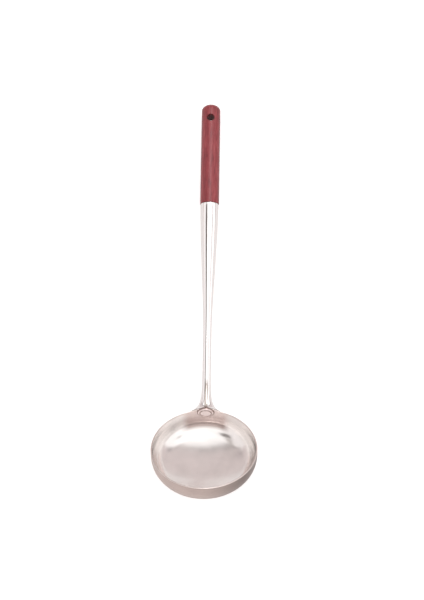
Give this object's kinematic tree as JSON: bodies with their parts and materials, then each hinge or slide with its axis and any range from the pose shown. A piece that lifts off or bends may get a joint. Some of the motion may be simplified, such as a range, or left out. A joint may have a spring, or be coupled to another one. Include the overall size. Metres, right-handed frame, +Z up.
{
  "type": "wok ladle",
  "caption": "Long-handled wok ladle: a deep round steel bowl, a tapered polished tube handle and a turned red-brown wooden grip with a hanging hole.",
  "frame": {"origin": "on the table under the middle of the ladle's box, with the ladle lying on its bowl and its grip", "axes": "+Y along the handle from the bowl to the grip's end, +Z up from the table, X across; symmetric about X = 0"},
  "size_m": [0.115, 0.4678, 0.0831],
  "materials": {
    "bowl_steel": "satin stainless, finely brushed in rings",
    "tube_steel": "mirror-polished stainless",
    "weld_steel": "ground and polished weld",
    "plain_steel": "turned, hidden inside",
    "grip_wood": "smooth oiled red hardwood with dark grain"
  },
  "bodies": {
    "root": {"bowl": "bowl_steel", "handle_tube": "tube_steel", "joint_cap": "tube_steel", "joint_weld": "weld_steel", "socket_bush": "plain_steel", "grip_stud": "plain_steel", "grip": "grip_wood"}
  },
  "joints": []
}
